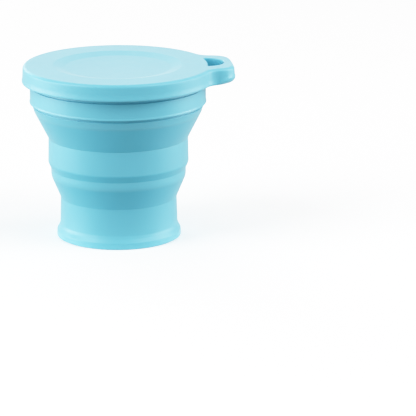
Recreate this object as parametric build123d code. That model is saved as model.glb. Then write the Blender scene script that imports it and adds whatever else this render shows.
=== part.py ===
from build123d import *

import os

# Collapsible travel cup, in millimetres, standing open with its lid on.
# Origin: centre of the circle the cup stands on. +Z up the cup's axis, +X towards the lid's hanging loop.
# The cup wall is one soft moulding. It is written here as the zones that keep their shape (base, middle
# ring, mouth sleeve) and the two webs between them that roll over when the cup folds. Each web is cut by
# upright cylinders into concentric rings, so that the rings pass inside each other as the cup folds.

# Clearances
RING_GAP = 0.12  # between neighbouring rings of a web
FIT_GAP = 0.1  # between the sleeve and the rigid rim ring around it
LID_GAP = 0.3  # between the lid and what it is pushed over

# Base: foot, wall and floor
BASE_TOP_Z = 18.9
BASE_TOP_R = 27.4
BASE_WALL_R = 27.75
BASE_WALL_T = 2.0
FOOT_R = 29.4
FOOT_Z = 2.9
FOOT_FLARE = (28.3, 4.7)
FOOT_FLARE_TOP_Z = 6.2
FOOT_UNDER_R = 28.9
FOOT_UNDER_Z = 0.4
FOOT_INNER_R = 24.0
UNDERSIDE_RECESS = 0.8
FLOOR_TOP_Z = 3.2
FLOOR_FILLET_R = 2.5

# Lower web: a cone from the base up to a straight neck under the middle ring
WEB_T = 1.0  # measured level, not square to the wall
LOWER_NECK_R = 31.8
LOWER_NECK_Z = 29.4
LOWER_NECK_TOP_Z = 34.4
LOWER_CONE_RINGS = 3

# Middle ring
MIDDLE_INNER_R = 31.9
MIDDLE_BOTTOM_Z = 33.0
SHOULDER_R = 33.1
SHOULDER_Z = 36.1
MIDDLE_TOP_R = 32.86
MIDDLE_TOP_Z = 47.7

# Upper web: a cone from the middle ring up to the neck below the rim ring
UPPER_NECK_R = 39.27
UPPER_NECK_Z = 60.25
UPPER_CONE_RINGS = 4
CREASE_RISE = 1.0  # how far a stiff zone runs on above its crease

# Mouth: the moulding's sleeve and lip, with the rigid rim ring around them
SLEEVE_R = 38.4
SLEEVE_T = 1.1
NECK_BOTTOM_Z = 59.4
NECK_TOP_R = 40.35
NECK_TOP_Z = 63.35
GROOVE_R = 39.8  # under the rim ring, above the neck
RIM_BOTTOM_Z = 64.6
RIM_R = 41.5
RIM_STEP_Z = 72.55
RIM_UPPER_R = 40.6
LIP_R = 40.5
LIP_BOTTOM_Z = 79.05
LIP_TOP_Z = 80.0
LIP_FILLET_R = 0.4

# Lid
LID_R = 45.0
LID_TOP_Z = 82.1
SKIRT_BOTTOM_Z = 74.4
SKIRT_INNER_R = RIM_UPPER_R + LID_GAP
PLATE_UNDER_Z = 80.1
RECESS_R = 30.3
RECESS_FLOOR_R = 25.0
RECESS_DEPTH = 1.2
PLUG_R = SLEEVE_R - 0.2
PLUG_T = 1.6
PLUG_BOTTOM_Z = 75.6
LID_TOP_FILLET_R = 1.6
LID_BOTTOM_FILLET_R = 0.5

# Hanging loop, in plan
LOOP_END_X = 54.85
LOOP_CORNER_X = 54.4
LOOP_CORNER_Y = 15.0
LOOP_ROOT_X = 38.0
LOOP_ROOT_Y = 17.2
LOOP_CORNER_R = 9.0
LOOP_ROOT_FILLET_R = 8.0
HOLE_CENTRE_X = 41.5
HOLE_R = 8.6
HOLE_INNER_R = 42.2
HOLE_CORNER_R = 0.9


def turned(points):
    """Turn a closed outline of (radius, height) points about the Z axis."""
    outline = make_face(Polyline(*points, close=True))
    return revolve(Plane.XZ * outline, axis=Axis.Z)


def cone_height(radius, start, end):
    """Height at which the straight line from start to end, each (radius, height), has this radius."""
    share = (radius - start[0]) / (end[0] - start[0])
    return start[1] + share * (end[1] - start[1])


def cone_ring(inner_r, outer_r, start, end):
    """One ring of a conical web: the part of its wall between two upright cylinders."""
    return turned(
        [
            (inner_r, cone_height(inner_r, start, end)),
            (outer_r, cone_height(outer_r, start, end)),
            (outer_r, cone_height(outer_r + WEB_T, start, end)),
            (inner_r, cone_height(inner_r + WEB_T, start, end)),
        ]
    )


def ring_radii(first_r, last_r, count):
    """Inner and outer radius of each of count rings between two radii, with the gap between them."""
    pitch = (last_r + RING_GAP - first_r) / count
    return [(first_r + i * pitch, first_r + (i + 1) * pitch - RING_GAP) for i in range(count)]


def circles_at(shape, radius, height):
    """The circular edges of a turned shape with this radius at this height."""
    rings = shape.edges().filter_by(GeomType.CIRCLE)
    return rings.filter_by(lambda e: abs(e.radius - radius) < 0.01 and abs(e.center().Z - height) < 0.01)


def base_cup():
    inner_r = BASE_TOP_R - BASE_WALL_T
    body = turned(
        [
            (0, UNDERSIDE_RECESS),
            (FOOT_INNER_R, UNDERSIDE_RECESS),
            (FOOT_INNER_R + UNDERSIDE_RECESS, 0),
            (FOOT_UNDER_R, 0),
            (FOOT_R, FOOT_UNDER_Z),
            (FOOT_R, FOOT_Z),
            FOOT_FLARE,
            (BASE_WALL_R, FOOT_FLARE_TOP_Z),
            (BASE_TOP_R, BASE_TOP_Z),
            (BASE_TOP_R, BASE_TOP_Z + CREASE_RISE),
            (inner_r + CREASE_RISE, BASE_TOP_Z + CREASE_RISE),
            (inner_r, BASE_TOP_Z - CREASE_RISE),
            (inner_r, FLOOR_TOP_Z),
            (0, FLOOR_TOP_Z),
        ]
    )
    return fillet(circles_at(body, inner_r, FLOOR_TOP_Z), FLOOR_FILLET_R)


def lower_fold_rings():
    start, end = (BASE_TOP_R, BASE_TOP_Z), (LOWER_NECK_R, LOWER_NECK_Z)
    neck_inner_r = LOWER_NECK_R - WEB_T + RING_GAP / 2
    radii = ring_radii(BASE_TOP_R + RING_GAP, neck_inner_r - RING_GAP, LOWER_CONE_RINGS)
    rings = [cone_ring(inner_r, outer_r, start, end) for inner_r, outer_r in radii]
    neck = turned(
        [
            (neck_inner_r, cone_height(neck_inner_r, start, end)),
            (LOWER_NECK_R, LOWER_NECK_Z),
            (LOWER_NECK_R, LOWER_NECK_TOP_Z),
            (neck_inner_r, LOWER_NECK_TOP_Z),
        ]
    )
    return rings + [neck]


def middle_ring():
    crease_r = SHOULDER_R + 0.05
    inner_top_r = MIDDLE_INNER_R + 0.6
    return turned(
        [
            (MIDDLE_INNER_R, MIDDLE_BOTTOM_Z),
            (SHOULDER_R - 0.5, SHOULDER_Z - 1.6),
            (SHOULDER_R, SHOULDER_Z),
            (MIDDLE_TOP_R, MIDDLE_TOP_Z),
            (crease_r, MIDDLE_TOP_Z + CREASE_RISE / 2),
            (crease_r, MIDDLE_TOP_Z + CREASE_RISE),
            (inner_top_r, MIDDLE_TOP_Z + CREASE_RISE),
            (MIDDLE_INNER_R, MIDDLE_TOP_Z),
        ]
    )


def upper_fold_rings():
    start, end = (MIDDLE_TOP_R, MIDDLE_TOP_Z), (UPPER_NECK_R, UPPER_NECK_Z)
    first_r = SHOULDER_R + 0.05 + RING_GAP
    radii = ring_radii(first_r, SLEEVE_R - RING_GAP, UPPER_CONE_RINGS)
    return [cone_ring(inner_r, outer_r, start, end) for inner_r, outer_r in radii]


def mouth_sleeve():
    neck_bottom_r = UPPER_NECK_R - 0.45
    ledge_z = RIM_BOTTOM_Z - FIT_GAP
    sleeve = turned(
        [
            (SLEEVE_R, NECK_BOTTOM_Z),
            (neck_bottom_r, NECK_BOTTOM_Z),
            (UPPER_NECK_R, UPPER_NECK_Z),
            (NECK_TOP_R, NECK_TOP_Z),
            (GROOVE_R, NECK_TOP_Z + 0.1),
            (GROOVE_R, ledge_z),
            (SLEEVE_R + SLEEVE_T, ledge_z),
            (SLEEVE_R + SLEEVE_T, LIP_BOTTOM_Z),
            (LIP_R, LIP_BOTTOM_Z),
            (LIP_R, LIP_TOP_Z),
            (SLEEVE_R, LIP_TOP_Z),
        ]
    )
    lip_edges = circles_at(sleeve, LIP_R, LIP_TOP_Z) + circles_at(sleeve, SLEEVE_R, LIP_TOP_Z)
    return fillet(lip_edges, LIP_FILLET_R)


def rim_ring():
    inner_r = SLEEVE_R + SLEEVE_T + FIT_GAP
    ring = turned(
        [
            (inner_r, RIM_BOTTOM_Z),
            (RIM_R, RIM_BOTTOM_Z),
            (RIM_R, RIM_STEP_Z),
            (RIM_UPPER_R, RIM_STEP_Z),
            (RIM_UPPER_R, LIP_BOTTOM_Z - FIT_GAP),
            (inner_r, LIP_BOTTOM_Z - FIT_GAP),
        ]
    )
    return fillet(circles_at(ring, RIM_R, RIM_BOTTOM_Z) + circles_at(ring, RIM_R, RIM_STEP_Z), 0.25)


def lid_plan():
    """Outline of the lid from above: a disc run into the loop with rounded inside corners."""
    corner, root = (LOOP_CORNER_X, LOOP_CORNER_Y), (LOOP_ROOT_X, LOOP_ROOT_Y)
    end = ThreePointArc((corner[0], -corner[1]), (LOOP_END_X, 0), corner)
    sides = Polyline(corner, root, (root[0], -root[1]), (corner[0], -corner[1]))
    loop = make_face(end + sides)
    loop = fillet(loop.vertices().filter_by(lambda v: v.X > LOOP_ROOT_X + 1), LOOP_CORNER_R)
    plan = loop + Circle(LID_R)
    joins = plan.vertices().filter_by(lambda v: abs(Vector(v.X, v.Y).length - LID_R) < 0.01 and v.X > 35)
    return fillet(joins, LOOP_ROOT_FILLET_R)


def hole_plan():
    """The loop's hole: its inner side follows the lid's edge, its outer side is a bow."""
    hole = Pos(HOLE_CENTRE_X, 0) * Circle(HOLE_R) - Circle(HOLE_INNER_R)
    return fillet(hole.vertices(), HOLE_CORNER_R)


def lid():
    body = Pos(0, 0, SKIRT_BOTTOM_Z) * extrude(lid_plan(), LID_TOP_Z - SKIRT_BOTTOM_Z)
    level_edges = body.edges().filter_by(lambda e: abs(e.bounding_box().size.Z) < 0.01)
    body = fillet(level_edges.group_by(Axis.Z)[-1], LID_TOP_FILLET_R)
    level_edges = body.edges().filter_by(lambda e: abs(e.bounding_box().size.Z) < 0.01)
    body = fillet(level_edges.group_by(Axis.Z)[0], LID_BOTTOM_FILLET_R)
    hollow = turned(
        [
            (0, SKIRT_BOTTOM_Z - 1),
            (SKIRT_INNER_R, SKIRT_BOTTOM_Z - 1),
            (SKIRT_INNER_R, PLATE_UNDER_Z),
            (RECESS_R, PLATE_UNDER_Z),
            (RECESS_FLOOR_R, PLATE_UNDER_Z - RECESS_DEPTH + 0.3),
            (0, PLATE_UNDER_Z - RECESS_DEPTH + 0.3),
        ]
    )
    recess = turned(
        [
            (0, LID_TOP_Z - RECESS_DEPTH),
            (RECESS_FLOOR_R, LID_TOP_Z - RECESS_DEPTH),
            (RECESS_R, LID_TOP_Z),
            (RECESS_R, LID_TOP_Z + 1),
            (0, LID_TOP_Z + 1),
        ]
    )
    plug = turned(
        [
            (PLUG_R - PLUG_T, PLUG_BOTTOM_Z),
            (PLUG_R, PLUG_BOTTOM_Z),
            (PLUG_R, PLATE_UNDER_Z + 0.5),
            (PLUG_R - PLUG_T, PLATE_UNDER_Z + 0.5),
        ]
    )
    hole = Pos(0, 0, SKIRT_BOTTOM_Z - 1) * extrude(hole_plan(), LID_TOP_Z - SKIRT_BOTTOM_Z + 2)
    return body - hollow - recess - hole + plug


def numbered(name, shapes):
    return {f"{name}_{i}": shape for i, shape in enumerate(shapes, start=1)}


def nodes():
    return {
        "base_cup": base_cup(),
        **numbered("lower_fold_ring", lower_fold_rings()),
        "middle_ring": middle_ring(),
        **numbered("upper_fold_ring", upper_fold_rings()),
        "mouth_sleeve": mouth_sleeve(),
        "rim_ring": rim_ring(),
        "lid": lid(),
    }


os.makedirs("parts", exist_ok=True)
for node_name, node_shape in nodes().items():
    node_shape.label = node_name
    export_step(node_shape, f"parts/{node_name}.step")
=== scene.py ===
import math

import bmesh
import bpy
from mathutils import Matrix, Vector


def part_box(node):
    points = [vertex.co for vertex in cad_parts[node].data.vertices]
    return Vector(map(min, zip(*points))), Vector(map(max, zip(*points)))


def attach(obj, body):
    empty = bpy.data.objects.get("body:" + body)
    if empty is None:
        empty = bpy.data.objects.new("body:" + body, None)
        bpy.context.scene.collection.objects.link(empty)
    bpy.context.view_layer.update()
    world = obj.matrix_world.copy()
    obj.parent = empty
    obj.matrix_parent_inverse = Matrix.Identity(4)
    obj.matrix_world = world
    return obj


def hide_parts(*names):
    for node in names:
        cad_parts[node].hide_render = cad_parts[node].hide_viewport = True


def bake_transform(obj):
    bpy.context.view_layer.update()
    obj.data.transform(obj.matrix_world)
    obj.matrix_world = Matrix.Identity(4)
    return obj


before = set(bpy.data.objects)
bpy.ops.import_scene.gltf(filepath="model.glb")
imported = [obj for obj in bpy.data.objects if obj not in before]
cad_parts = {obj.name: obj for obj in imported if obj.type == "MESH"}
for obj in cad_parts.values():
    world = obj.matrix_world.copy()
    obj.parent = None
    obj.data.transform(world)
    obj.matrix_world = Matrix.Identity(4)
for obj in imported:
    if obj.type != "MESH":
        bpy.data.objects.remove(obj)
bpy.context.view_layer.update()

# Collapsible travel cup, standing open with its lid on. Outlines are in millimetres, as radius and height
# from the centre of the circle that the cup stands on, and meshes are written in metres.

MM = 0.001


def low(node):
    """Lowest corner of a CAD node, in millimetres."""
    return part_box(node)[0] / MM


def high(node):
    """Highest corner of a CAD node, in millimetres."""
    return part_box(node)[1] / MM


# Heights and radii that the frame gives
LID_R = high("lid").y
LID_TOP_Z = high("lid").z
SKIRT_BOTTOM_Z = low("lid").z
LOOP_END_X = high("lid").x
RIM_R = high("rim_ring").y
RIM_BOTTOM_Z = low("rim_ring").z
LIP_TOP_Z = high("mouth_sleeve").z
FOOT_R = high("base_cup").y

# Lid
SKIRT_INNER_R = 40.9
LID_DRAFT = 0.44
LID_TOP_ROUND = 1.6
LID_BOTTOM_ROUND = 0.5
LOOP_BOTTOM_ROUND = 2.6
PLATE_UNDER_Z = LID_TOP_Z - 2.0
RECESS_R = 30.3
RECESS_FLOOR_R = 25.0
RECESS_DEPTH = 1.2
PLUG_R = 38.2
PLUG_T = 1.6
PLUG_BOTTOM_Z = SKIRT_BOTTOM_Z + 1.2
LOOP_CORNER = (LOOP_END_X - 0.45, 15.0)
LOOP_ROOT = (38.0, 17.2)
LOOP_CORNER_R = 9.0
LOOP_END_R = 120.0
LOOP_ROOT_R = 8.0
HOLE_CENTRE_X = 41.5
HOLE_R = 8.6
HOLE_INNER_R = 42.2
HOLE_CORNER_R = 0.9
HOLE_EDGE_ROUND = 0.45
FLAT_MARGIN = 0.25

# Fine bead along the lower edge of the lid's skirt and of the rim ring
BEAD = 0.2
BEAD_Z = 0.5
BEAD_TOP_Z = 1.1

# Rim ring and mouth
RIM_STEP_Z = 72.55
RIM_UPPER_R = 40.6
SLEEVE_R = 38.4
SLEEVE_OUTER_R = 39.5
LIP_R = 40.5
LIP_T = 0.95
NECK_TOP = (40.3, 63.4)
GROOVE_R = 39.8
UPPER_NECK = (39.27, 60.25)

# Middle ring
MIDDLE_TOP = (32.86, 47.7)
SHOULDER = (33.1, 36.1)
MIDDLE_INNER_R = 31.9

# Lower neck, base and foot
WEB_T = 1.0
LOWER_NECK_R = 31.8
LOWER_NECK_TOP_Z = 32.9
LOWER_NECK_Z = 29.4
BASE_TOP = (27.4, 18.9)
BASE_WALL_R = 27.75
BASE_INNER_R = 25.4
FLOOR_TOP_Z = 3.2
UNDERSIDE_RECESS = 0.8
FOOT_INNER_R = 24.0
FOOT_FLARE_TOP_Z = 6.2
GATE_MARK_R = 2.0

SEGMENTS = 192
ARC_STEP = math.radians(12)
WEB_STEP = 0.4
ZONE_START = 0.1
ZONE_FADE = 1.6


# Outlines

def rounded(corners, closed=False):
    """Points along straight runs between corners, each (x, y, radius), with each corner rounded off."""
    points = []
    last = len(corners) - 1
    for i, (x, y, radius) in enumerate(corners):
        here = Vector((x, y))
        if radius == 0 or (not closed and i in (0, last)):
            points.append(here)
            continue
        before = (Vector(corners[i - 1][:2]) - here).normalized()
        after = (Vector(corners[(i + 1) % len(corners)][:2]) - here).normalized()
        turn = math.pi - before.angle(after)
        reach = radius * math.tan(turn / 2)
        start, end = here + before * reach, here + after * reach
        centre = here + (before + after).normalized() * (radius / math.cos(turn / 2))
        steps = max(2, math.ceil(turn / ARC_STEP))
        for k in range(steps + 1):
            angle = turn * k / steps
            spoke = (start - centre) * math.sin(turn - angle) + (end - centre) * math.sin(angle)
            points.append(centre + spoke / math.sin(turn))
    return points


def divided(points, lowest, highest, step, closed=False):
    """The same outline with runs longer than step divided, between two heights."""
    out = []
    count = len(points)
    for i, here in enumerate(points):
        out.append(here)
        if i == count - 1 and not closed:
            break
        there = points[(i + 1) % count]
        if max(here.y, there.y) > lowest and min(here.y, there.y) < highest:
            parts = math.ceil((there - here).length / step)
            out += [here.lerp(there, k / parts) for k in range(1, parts)]
    return out


# Meshes

def finished(name, bm, material):
    """Closes the mesh, turns its faces outwards and makes it a smooth object."""
    bmesh.ops.remove_doubles(bm, verts=bm.verts, dist=1e-7)
    bmesh.ops.recalc_face_normals(bm, faces=bm.faces)
    mesh = bpy.data.meshes.new(name)
    bm.to_mesh(mesh)
    bm.free()
    for face in mesh.polygons:
        face.use_smooth = True
    mesh.materials.append(material)
    obj = bpy.data.objects.new(name, mesh)
    bpy.context.scene.collection.objects.link(obj)
    return obj


def ring_of(bm, points, height):
    """A closed ring of vertices through plan points at one height, or at one height each."""
    heights = height if isinstance(height, list) else [height] * len(points)
    return [bm.verts.new(Vector((p[0], p[1], z)) * MM) for p, z in zip(points, heights)]


def circle(radius):
    turns = [2 * math.pi * k / SEGMENTS for k in range(SEGMENTS)]
    return [(radius * math.cos(a), radius * math.sin(a)) for a in turns]


def skin(bm, rings):
    """Quads between each ring of vertices and the next."""
    for lower, upper in zip(rings, rings[1:]):
        count = len(lower)
        for k in range(count):
            n = (k + 1) % count
            bm.faces.new((lower[k], lower[n], upper[n], upper[k]))


def turned_rings(bm, outline):
    """One ring of vertices for each outline point. A point on the axis gives a single vertex."""
    rings = []
    for point in outline:
        if point.x < 1e-6:
            rings.append([bm.verts.new(Vector((0, 0, point.y)) * MM)])
        else:
            rings.append(ring_of(bm, circle(point.x), point.y))
    return rings


def join_turned(bm, rings):
    for lower, upper in zip(rings, rings[1:]):
        if len(lower) > 1 and len(upper) > 1:
            skin(bm, [lower, upper])
            continue
        pole, rim = (lower, upper) if len(lower) == 1 else (upper, lower)
        for k in range(SEGMENTS):
            bm.faces.new((pole[0], rim[k], rim[(k + 1) % SEGMENTS]))


def turned(name, outline, material, closed=False):
    """A solid of revolution from an outline of (radius, height) points."""
    bm = bmesh.new()
    rings = turned_rings(bm, outline)
    join_turned(bm, rings + rings[:1] if closed else rings)
    return finished(name, bm, material)


# Lid

def arc(centre, radius, start, end, step):
    """Points on an arc from one angle to another, its last point left off."""
    count = max(2, math.ceil(abs(end - start) * radius / step))
    angles = [start + (end - start) * k / count for k in range(count)]
    return [Vector((centre[0] + radius * math.cos(a), centre[1] + radius * math.sin(a))) for a in angles]


def angle_of(vector):
    return math.atan2(vector.y, vector.x)


def lid_outline():
    """Plan of the lid, anticlockwise: the loop's end and sides, then the disc round the back."""
    corner, root = Vector(LOOP_CORNER), Vector(LOOP_ROOT)
    along = (root - corner).normalized()
    out = Vector((-along.y, along.x))
    if out.y < 0:
        out = -out
    foot = corner + out * LOOP_ROOT_R
    reach = LID_R + LOOP_ROOT_R
    half = foot.dot(along)
    centre = foot - along * (half + math.sqrt(half * half - foot.length_squared + reach * reach))
    on_side, on_disc = centre - out * LOOP_ROOT_R, centre.normalized() * LID_R
    end = rounded(
        [
            (on_side.x, -on_side.y, 0),
            (corner.x, -corner.y, LOOP_CORNER_R),
            (LOOP_END_X, 0, LOOP_END_R),
            (corner.x, corner.y, LOOP_CORNER_R),
            (on_side.x, on_side.y, 0),
        ]
    )
    first, last = angle_of(on_side - centre), angle_of(on_disc - centre)
    upper_root = arc(centre, LOOP_ROOT_R, first, last - 2 * math.pi if last - first > math.pi else last, 0.7)
    around = arc((0, 0), LID_R, angle_of(on_disc), 2 * math.pi - angle_of(on_disc), 1.3)
    lower_root = [Vector((p.x, -p.y)) for p in upper_root]
    return end[:-1] + upper_root + around + [Vector((on_disc.x, -on_disc.y))] + lower_root[:0:-1]


def hole_outline():
    """Plan of the loop's hole, anticlockwise, with its corner arcs between the bow and the lid's edge."""
    bow = Vector((HOLE_CENTRE_X, 0))
    to_axis, to_bow = HOLE_INNER_R + HOLE_CORNER_R, HOLE_R - HOLE_CORNER_R
    x = (to_axis**2 - to_bow**2 + HOLE_CENTRE_X**2) / (2 * HOLE_CENTRE_X)
    centre = Vector((x, math.sqrt(to_axis**2 - x**2)))
    bow_angle = angle_of(centre - bow)
    edge_angle = angle_of(centre)
    corner = arc(centre, HOLE_CORNER_R, bow_angle, edge_angle + math.pi, 0.2)
    far = arc(bow, HOLE_R, -bow_angle, bow_angle, 0.5)
    near = arc((0, 0), HOLE_INNER_R, edge_angle, -edge_angle, 0.5)
    mirror = Vector((centre.x, -centre.y))
    mirrored_corner = arc(mirror, HOLE_CORNER_R, math.pi - edge_angle, 2 * math.pi - bow_angle, 0.2)
    return far + corner + near + mirrored_corner


def inwards(outline, distances):
    """The outline moved in by a distance for each point, or out where it is negative."""
    moved = []
    count = len(outline)
    for i, point in enumerate(outline):
        along = (outline[(i + 1) % count] - outline[i - 1]).normalized()
        moved.append(point + Vector((-along.y, along.x)) * distances[i])
    return moved


def eased(value, start, end):
    share = min(1.0, max(0.0, (value - start) / (end - start)))
    return share * share * (3 - 2 * share)


def quarter(steps):
    return [math.pi / 2 * k / steps for k in range(steps + 1)]


def lid_shell(bm):
    """The lid's outer side. Returns its lowest and highest ring."""
    outline = lid_outline()
    under = [
        LID_BOTTOM_ROUND + (LOOP_BOTTOM_ROUND - LID_BOTTOM_ROUND) * eased(p.x, LID_R - 1, LOOP_END_X - 3)
        for p in outline
    ]
    levels = [([r + FLAT_MARGIN for r in under], [SKIRT_BOTTOM_Z] * len(under))]
    for a in quarter(8):
        inset = [r * (1 - math.sin(a)) for r in under]
        levels.append((inset, [SKIRT_BOTTOM_Z + r * (1 - math.cos(a)) for r in under]))
    top_start = LID_TOP_Z - LID_TOP_ROUND
    span = top_start - SKIRT_BOTTOM_Z
    for rise, inset in ((BEAD_Z, 0), (BEAD_TOP_Z, BEAD), (0.5 * span, 0.5 * (BEAD + LID_DRAFT))):
        heights = [SKIRT_BOTTOM_Z + r + (span - r) * rise / span for r in under]
        levels.append(([inset] * len(under), heights))
    for a in quarter(10):
        inset = LID_DRAFT + LID_TOP_ROUND * (1 - math.cos(a))
        levels.append(([inset] * len(under), [top_start + LID_TOP_ROUND * math.sin(a)] * len(under)))
    levels.append(([LID_DRAFT + LID_TOP_ROUND + FLAT_MARGIN] * len(under), [LID_TOP_Z] * len(under)))
    rings = [ring_of(bm, inwards(outline, inset), heights) for inset, heights in levels]
    skin(bm, rings)
    return rings[0], rings[-1]


def lid_hole(bm):
    """The wall of the loop's hole. Returns its lowest and highest ring."""
    outline = hole_outline()
    levels = [(HOLE_EDGE_ROUND + FLAT_MARGIN, SKIRT_BOTTOM_Z)]
    for a in quarter(5):
        rise = HOLE_EDGE_ROUND * (1 - math.cos(a))
        levels.append((HOLE_EDGE_ROUND * (1 - math.sin(a)), SKIRT_BOTTOM_Z + rise))
    for a in quarter(5):
        drop = HOLE_EDGE_ROUND * (1 - math.sin(a))
        levels.append((HOLE_EDGE_ROUND * (1 - math.cos(a)), LID_TOP_Z - drop))
    levels.append((HOLE_EDGE_ROUND + FLAT_MARGIN, LID_TOP_Z))
    rings = [ring_of(bm, inwards(outline, [-out] * len(outline)), height) for out, height in levels]
    skin(bm, rings)
    return rings[0], rings[-1]


def edges_of(bm, ring):
    count = len(ring)
    return [bm.edges.get((ring[k], ring[(k + 1) % count])) for k in range(count)]


def make_lid(material):
    bm = bmesh.new()
    shell_low, shell_high = lid_shell(bm)
    hole_low, hole_high = lid_hole(bm)
    dish = rounded(
        [
            (RECESS_R + 1.4, LID_TOP_Z, 0),
            (RECESS_R, LID_TOP_Z, 4.0),
            (RECESS_FLOOR_R, LID_TOP_Z - RECESS_DEPTH, 6.0),
            (0, LID_TOP_Z - RECESS_DEPTH, 0),
        ]
    )
    top_rings = turned_rings(bm, dish)
    join_turned(bm, top_rings)
    under_floor_z = PLATE_UNDER_Z - RECESS_DEPTH + 0.3
    underside = rounded(
        [
            (SKIRT_INNER_R + 0.3 + FLAT_MARGIN, SKIRT_BOTTOM_Z, 0),
            (SKIRT_INNER_R, SKIRT_BOTTOM_Z, 0.3),
            (SKIRT_INNER_R, PLATE_UNDER_Z, 0.5),
            (PLUG_R, PLATE_UNDER_Z, 0.3),
            (PLUG_R, PLUG_BOTTOM_Z, 0.6),
            (PLUG_R - PLUG_T, PLUG_BOTTOM_Z, 0.6),
            (PLUG_R - PLUG_T, PLATE_UNDER_Z, 0.8),
            (RECESS_R, PLATE_UNDER_Z, 4.0),
            (RECESS_FLOOR_R, under_floor_z, 6.0),
            (0, under_floor_z, 0),
        ]
    )
    under_rings = turned_rings(bm, underside)
    join_turned(bm, under_rings)
    for loops in ((shell_high, hole_high, top_rings[0]), (shell_low, hole_low, under_rings[0])):
        border = [edge for loop in loops for edge in edges_of(bm, loop)]
        bmesh.ops.triangle_fill(bm, edges=border, use_beauty=True)
    return finished("lid_moulding", bm, material)


# Rim ring and cup wall

def mark_painted_shade(wall, *zones):
    """Marks the webs and the shoulder, each between two heights, for painted shade: these faces turn down,
    away from the light, and their colour is darkened there.
    """
    mesh = wall.data
    marks = mesh.attributes.new("painted_shade_amount", "FLOAT", "POINT")
    for vertex, mark in zip(mesh.vertices, marks.data):
        height = vertex.co.z / MM
        shares = [
            eased(height, low_z - ZONE_START, low_z + ZONE_START) - eased(height, high_z - ZONE_FADE, high_z)
            for low_z, high_z in zones
        ]
        mark.value = max(shares)


def make_rim_ring(material):
    inner_r = SLEEVE_OUTER_R + 0.1
    top_z = LIP_TOP_Z - LIP_T - 0.1
    outline = rounded(
        [
            (inner_r, RIM_BOTTOM_Z, 0.2),
            (RIM_R, RIM_BOTTOM_Z, 0.25),
            (RIM_R, RIM_BOTTOM_Z + BEAD_Z, 0.15),
            (RIM_R - BEAD, RIM_BOTTOM_Z + BEAD_TOP_Z, 0.4),
            (RIM_R - BEAD, RIM_STEP_Z, 0.35),
            (RIM_UPPER_R, RIM_STEP_Z, 0.3),
            (RIM_UPPER_R, top_z, 0.3),
            (inner_r, top_z, 0.2),
        ],
        closed=True,
    )
    return turned("rim_ring_band", outline, material, closed=True)


def make_upper_wall(material):
    """Upper web, mouth sleeve and lip. Its lower end sits inside the middle ring's wall."""
    crease_r, crease_z = MIDDLE_TOP
    neck_r, neck_z = UPPER_NECK
    ledge_z = RIM_BOTTOM_Z - 0.1
    outline = rounded(
        [
            (crease_r - 0.1, crease_z - 0.5, 0),
            (crease_r, crease_z, 0.2),
            (neck_r, neck_z, 3.0),
            (*NECK_TOP, 0.25),
            (GROOVE_R, NECK_TOP[1] + 0.05, 0.1),
            (GROOVE_R, ledge_z, 0.1),
            (SLEEVE_OUTER_R, ledge_z, 0.1),
            (SLEEVE_OUTER_R, LIP_TOP_Z - LIP_T, 0.1),
            (LIP_R, LIP_TOP_Z - LIP_T, 0.3),
            (LIP_R, LIP_TOP_Z, 0.4),
            (SLEEVE_R, LIP_TOP_Z, 0.4),
            (SLEEVE_R, RIM_BOTTOM_Z - 2, 2.0),
            (neck_r - WEB_T, neck_z, 2.0),
            (crease_r - WEB_T + 0.15, crease_z + 0.2, 0.2),
            (crease_r - WEB_T + 0.15, crease_z - 0.5, 0),
        ],
        closed=True,
    )
    outline = divided(outline, crease_z, RIM_BOTTOM_Z, WEB_STEP, closed=True)
    wall = turned("cup_wall_upper", outline, material, closed=True)
    # Painted shade: the downward-facing upper web is marked to be darkened in colour.
    mark_painted_shade(wall, (crease_z, neck_z))
    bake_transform(wall)
    return wall


def make_lower_wall(material):
    """Base, lower web and middle ring in one, from the middle of the underside to the middle of the floor."""
    base_r, base_z = BASE_TOP
    shoulder_r, shoulder_z = SHOULDER
    outline = rounded(
        [
            (0, UNDERSIDE_RECESS - 0.3, 0),
            (GATE_MARK_R - 0.2, UNDERSIDE_RECESS - 0.3, 0.2),
            (GATE_MARK_R, UNDERSIDE_RECESS, 0.2),
            (FOOT_INNER_R, UNDERSIDE_RECESS, 0.8),
            (FOOT_INNER_R + 0.9, 0, 0.8),
            (FOOT_R - 0.5, 0, 0.25),
            (FOOT_R, 0.4, 0.3),
            (FOOT_R - 0.05, 1.1, 0.3),
            (FOOT_R - 0.15, 3.0, 1.1),
            (FOOT_R - 1.1, 4.7, 1.0),
            (BASE_WALL_R, FOOT_FLARE_TOP_Z, 2.0),
            (base_r, base_z, 0.2),
            (LOWER_NECK_R, LOWER_NECK_Z, 6.0),
            (LOWER_NECK_R, LOWER_NECK_TOP_Z, 0.6),
            (shoulder_r, shoulder_z - 0.1, 1.6),
            (MIDDLE_TOP[0], MIDDLE_TOP[1], 0.15),
            (MIDDLE_INNER_R, MIDDLE_TOP[1], 0.2),
            (MIDDLE_INNER_R, LOWER_NECK_TOP_Z + 1.8, 1.0),
            (LOWER_NECK_R - WEB_T, LOWER_NECK_TOP_Z + 0.4, 1.0),
            (LOWER_NECK_R - WEB_T, LOWER_NECK_Z, 6.0),
            (base_r - WEB_T, base_z, 2.0),
            (BASE_INNER_R, base_z - 2.5, 2.0),
            (BASE_INNER_R - 0.2, FLOOR_TOP_Z, 2.8),
            (0, FLOOR_TOP_Z, 0),
        ]
    )
    outline = divided(outline, base_z, shoulder_z + 3, WEB_STEP)
    wall = turned("cup_wall_lower", outline, material)
    # Painted shade: the downward-facing lower web and the shoulder are marked to be darkened in colour.
    mark_painted_shade(wall, (base_z, LOWER_NECK_Z), (LOWER_NECK_TOP_Z, shoulder_z + 0.8))
    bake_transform(wall)
    return wall


# Materials

CYAN = (0.128, 0.446, 0.578)
# Painted shade: the colour of the marked webs and shoulder is multiplied by this darker tint.
PAINTED_SHADE_TINT = (0.72, 0.97, 1.0)


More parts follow.
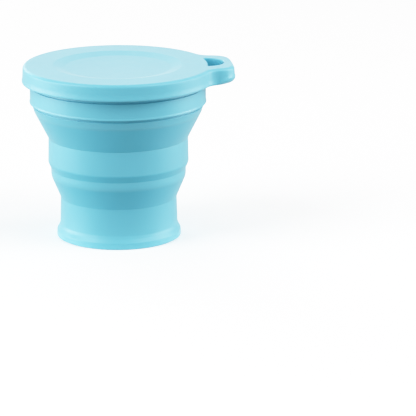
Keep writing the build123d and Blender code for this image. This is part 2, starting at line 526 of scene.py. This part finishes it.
def moulded(name, colour, roughness, scatter, grain):
    """Matte moulded silicone or plastic: fine mould grain, slight clouding in colour and gloss."""
    material = bpy.data.materials.new(name)
    material.use_nodes = True
    nodes, links = material.node_tree.nodes, material.node_tree.links
    shader = nodes["Principled BSDF"]
    place = nodes.new("ShaderNodeTexCoord")

    clouds = nodes.new("ShaderNodeTexNoise")
    clouds.inputs["Scale"].default_value = 38.0
    clouds.inputs["Detail"].default_value = 3.0
    tint = nodes.new("ShaderNodeMixRGB")
    tint.inputs["Color1"].default_value = (*[c * 0.965 for c in colour], 1)
    tint.inputs["Color2"].default_value = (*[min(1.0, c * 1.035) for c in colour], 1)
    links.new(place.outputs["Object"], clouds.inputs["Vector"])
    links.new(clouds.outputs["Fac"], tint.inputs["Fac"])
    # Painted shade: where the webs and shoulder are marked, the colour is multiplied darker.
    zone = nodes.new("ShaderNodeAttribute")
    zone.attribute_name = "painted_shade_amount"
    painted_shade_mix = nodes.new("ShaderNodeMixRGB")
    painted_shade_mix.blend_type = "MULTIPLY"
    painted_shade_mix.inputs["Color2"].default_value = (*PAINTED_SHADE_TINT, 1)
    links.new(zone.outputs["Fac"], painted_shade_mix.inputs["Fac"])
    links.new(tint.outputs["Color"], painted_shade_mix.inputs["Color1"])
    links.new(painted_shade_mix.outputs["Color"], shader.inputs["Base Color"])

    gloss = nodes.new("ShaderNodeTexNoise")
    gloss.inputs["Scale"].default_value = 160.0
    gloss.inputs["Detail"].default_value = 4.0
    spread = nodes.new("ShaderNodeMapRange")
    spread.inputs["To Min"].default_value = roughness - 0.05
    spread.inputs["To Max"].default_value = roughness + 0.05
    links.new(place.outputs["Object"], gloss.inputs["Vector"])
    links.new(gloss.outputs["Fac"], spread.inputs["Value"])
    links.new(spread.outputs["Result"], shader.inputs["Roughness"])

    fine = nodes.new("ShaderNodeTexNoise")
    fine.inputs["Scale"].default_value = 2600.0
    fine.inputs["Detail"].default_value = 2.0
    bump = nodes.new("ShaderNodeBump")
    bump.inputs["Strength"].default_value = grain
    bump.inputs["Distance"].default_value = 0.00004
    links.new(place.outputs["Object"], fine.inputs["Vector"])
    links.new(fine.outputs["Fac"], bump.inputs["Height"])
    links.new(bump.outputs["Normal"], shader.inputs["Normal"])

    shader.inputs["IOR"].default_value = 1.6
    shader.inputs["Subsurface Weight"].default_value = scatter
    shader.inputs["Subsurface Radius"].default_value = (0.5, 1.0, 1.2)
    shader.inputs["Subsurface Scale"].default_value = 0.002
    shader.inputs["Sheen Weight"].default_value = 0.3
    shader.inputs["Sheen Roughness"].default_value = 0.5
    return material


cup_silicone = moulded("cup_silicone_cyan", CYAN, 0.46, 0.15, 0.3)
lid_silicone = moulded("lid_silicone_cyan", CYAN, 0.46, 0.15, 0.3)
rim_plastic = moulded("rim_plastic_cyan", CYAN, 0.42, 0.0, 0.15)


# The cup

lid = make_lid(lid_silicone)
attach(lid, "lid")
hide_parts("lid")

rim = make_rim_ring(rim_plastic)
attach(rim, "mouth")
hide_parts("rim_ring")

upper_wall = make_upper_wall(cup_silicone)
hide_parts("mouth_sleeve", *[f"upper_fold_ring_{i}" for i in range(1, 5)])

lower_wall = make_lower_wall(cup_silicone)
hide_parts("base_cup", "middle_ring", *[f"lower_fold_ring_{i}" for i in range(1, 5)])


# Floor, light and camera. The curve is a camera's response: light that comes in, and what is shown of it.

CUP_MIDDLE = (0.0, 0.0, 0.045)
CAMERA_PLACE = (-0.1218, -1.3201, 0.3764)
CAMERA_AIM = (0.0426, 0.0, 0.0109)
CAMERA_AZIMUTH = -5.3
SOFTBOX_DISTANCE = 1.3
WORLD_STRENGTH = 0.64
WHITE_LEVEL = 1.6
RESPONSE = [(0.08, 0.05), (0.2, 0.18), (0.4, 0.4), (0.6, 0.6), (0.8, 0.745), (1.0, 0.85), (1.3, 0.95)]


def make_paper():
    paper = bpy.data.materials.new("studio_paper")
    paper.use_nodes = True
    shader = paper.node_tree.nodes["Principled BSDF"]
    shader.inputs["Base Color"].default_value = (0.92, 0.92, 0.92, 1)
    shader.inputs["Roughness"].default_value = 0.9
    shader.inputs["Emission Color"].default_value = (1, 1, 1, 1)
    shader.inputs["Emission Strength"].default_value = 0.15
    shader.inputs["Specular IOR Level"].default_value = 0.0
    return paper


def make_sheet(name, radius, depth, bounces, material):
    """A round sheet just under the cup's foot, which lights the cup only if it bounces."""
    bm = bmesh.new()
    bmesh.ops.create_circle(bm, cap_ends=True, segments=96, radius=radius)
    mesh = bpy.data.meshes.new(name)
    bm.to_mesh(mesh)
    bm.free()
    mesh.materials.append(material)
    sheet = bpy.data.objects.new(name, mesh)
    bpy.context.scene.collection.objects.link(sheet)
    sheet.location.z = -depth
    sheet.visible_diffuse = bounces
    sheet.visible_glossy = bounces


def softbox(name, azimuth, elevation, width, height, power):
    """A soft panel facing the cup. Azimuth 0 is in front, on the camera's side, and 90 is on the right."""
    light = bpy.data.lights.new(name, "AREA")
    light.shape = "RECTANGLE"
    light.size, light.size_y = width, height
    light.energy = power
    turn, rise = math.radians(azimuth + CAMERA_AZIMUTH), math.radians(elevation)
    towards = Vector((math.sin(turn) * math.cos(rise), -math.cos(turn) * math.cos(rise), math.sin(rise)))
    obj = bpy.data.objects.new(name, light)
    bpy.context.scene.collection.objects.link(obj)
    obj.location = Vector(CUP_MIDDLE) + towards * SOFTBOX_DISTANCE
    obj.rotation_euler = (-towards).to_track_quat("-Z", "Y").to_euler()
    obj.visible_camera = False


def set_response():
    """A slight toe, straight through the middle, and a soft shoulder up to white."""
    view = bpy.context.scene.view_settings
    view.view_transform = "Standard"
    view.use_curve_mapping = True
    view.curve_mapping.white_level = [WHITE_LEVEL] * 3
    combined = view.curve_mapping.curves[3]
    for light, shown in RESPONSE:
        combined.points.new(light / WHITE_LEVEL, shown)
    view.curve_mapping.update()


studio_paper = make_paper()
make_sheet("studio_floor", 6.0, 0.0001, False, studio_paper)
make_sheet("studio_floor_under_cup", 0.036, 0.00005, True, studio_paper)

softbox("softbox_left_low", -95, 3, 1.3, 0.2, 12.5)
softbox("softbox_left", -62, 20, 0.66, 0.4, 5.2)
softbox("softbox_left_high", -60, 45, 0.7, 0.7, 6.2)
softbox("softbox_right_low", 97, 3, 0.9, 0.2, 6.2)
softbox("softbox_right", 90, 20, 0.66, 0.4, 5.3)
softbox("softbox_right_high", 58, 45, 0.7, 0.7, 7.1)
softbox("softbox_back_left", -150, 20, 0.66, 0.4, 3.9)
softbox("softbox_back", 180, 45, 0.7, 0.7, 1.7)

world = bpy.data.worlds.new("studio_world")
world.use_nodes = True
world.node_tree.nodes["Background"].inputs["Color"].default_value = (1, 1, 1, 1)
world.node_tree.nodes["Background"].inputs["Strength"].default_value = WORLD_STRENGTH
bpy.context.scene.world = world
set_response()

camera_data = bpy.data.cameras.new("camera")
camera_data.lens = 250.6
camera_data.sensor_width = 36.0
camera = bpy.data.objects.new("camera", camera_data)
bpy.context.scene.collection.objects.link(camera)
camera.location = CAMERA_PLACE
camera.rotation_euler = (Vector(CAMERA_AIM) - Vector(CAMERA_PLACE)).to_track_quat("-Z", "Y").to_euler()
bpy.context.scene.camera = camera
